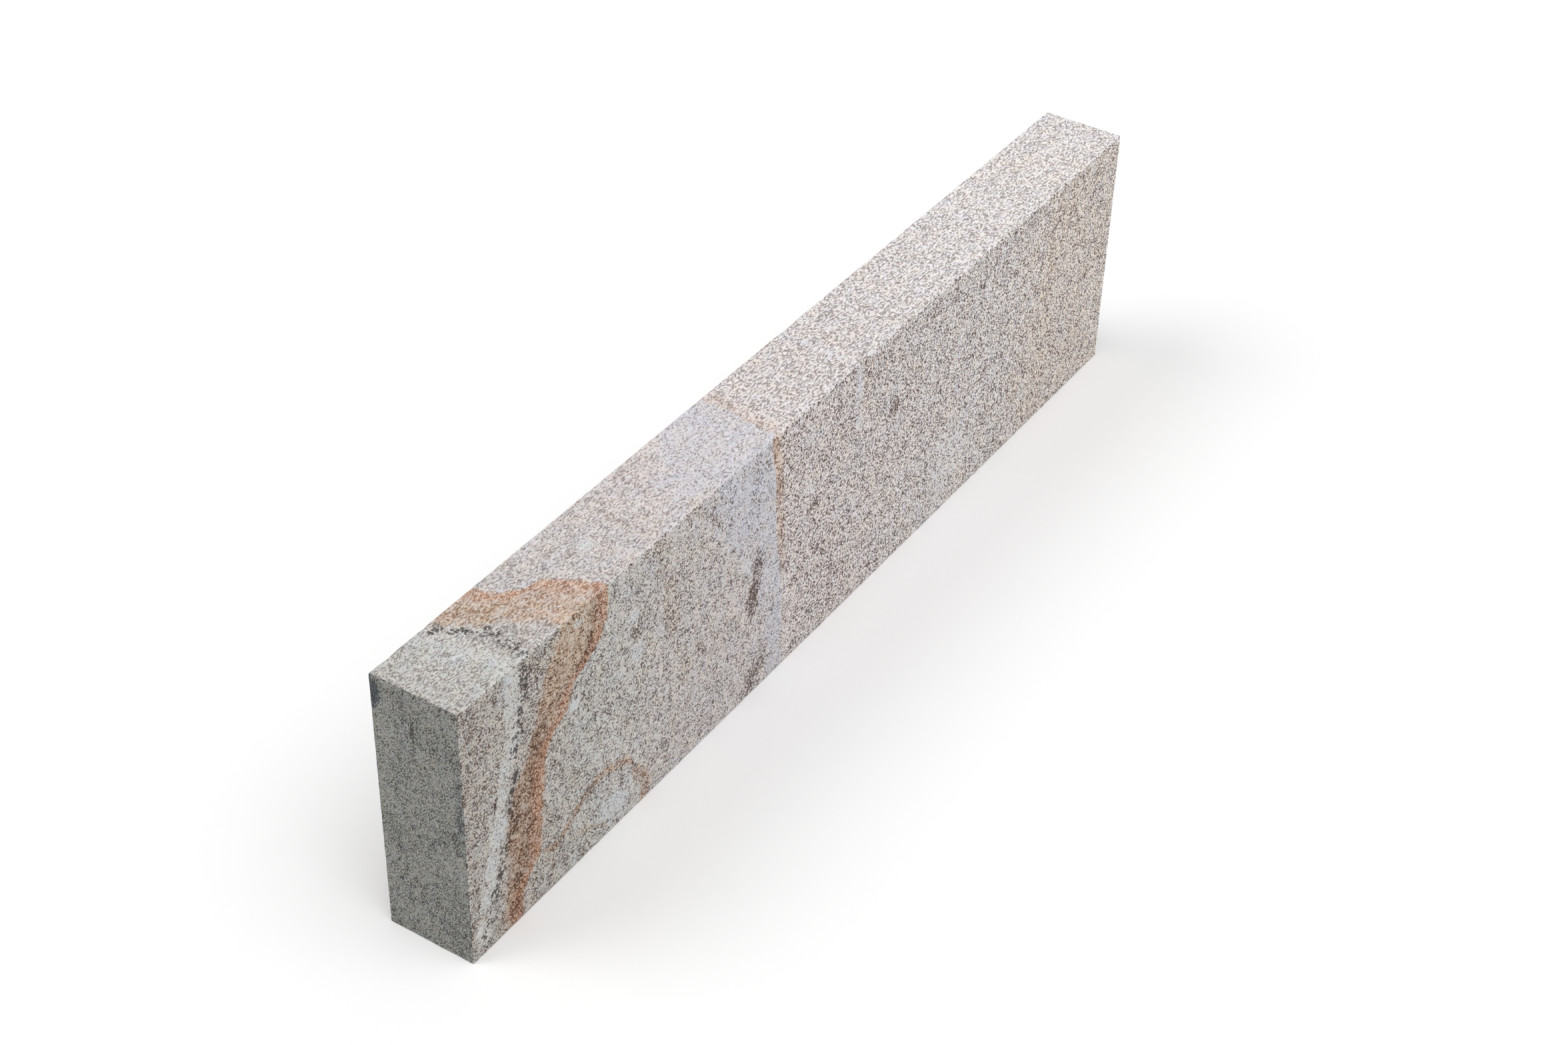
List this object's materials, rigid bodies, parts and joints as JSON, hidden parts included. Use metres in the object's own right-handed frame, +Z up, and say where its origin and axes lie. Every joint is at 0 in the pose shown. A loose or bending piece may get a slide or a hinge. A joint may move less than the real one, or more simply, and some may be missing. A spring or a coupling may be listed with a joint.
{
  "type": "stone lawn edging",
  "caption": "Straight sawn bar of speckled, rust-veined gneiss with flame-roughened faces and eased arrises, set on its narrow edge to border a lawn, bed or path.",
  "frame": {"origin": "middle of the foot, the long narrow face that the stone stands on", "axes": "+X along the stone, away from the end nearest the camera in the picture; +Y through the thickness, from the face seen in the picture to the hidden one; +Z up"},
  "size_m": [1, 0.08, 0.25],
  "materials": {
    "gneiss": "flame-roughened, sawn on the two ends"
  },
  "bodies": {
    "root": {"edging_stone": "gneiss"}
  },
  "joints": []
}
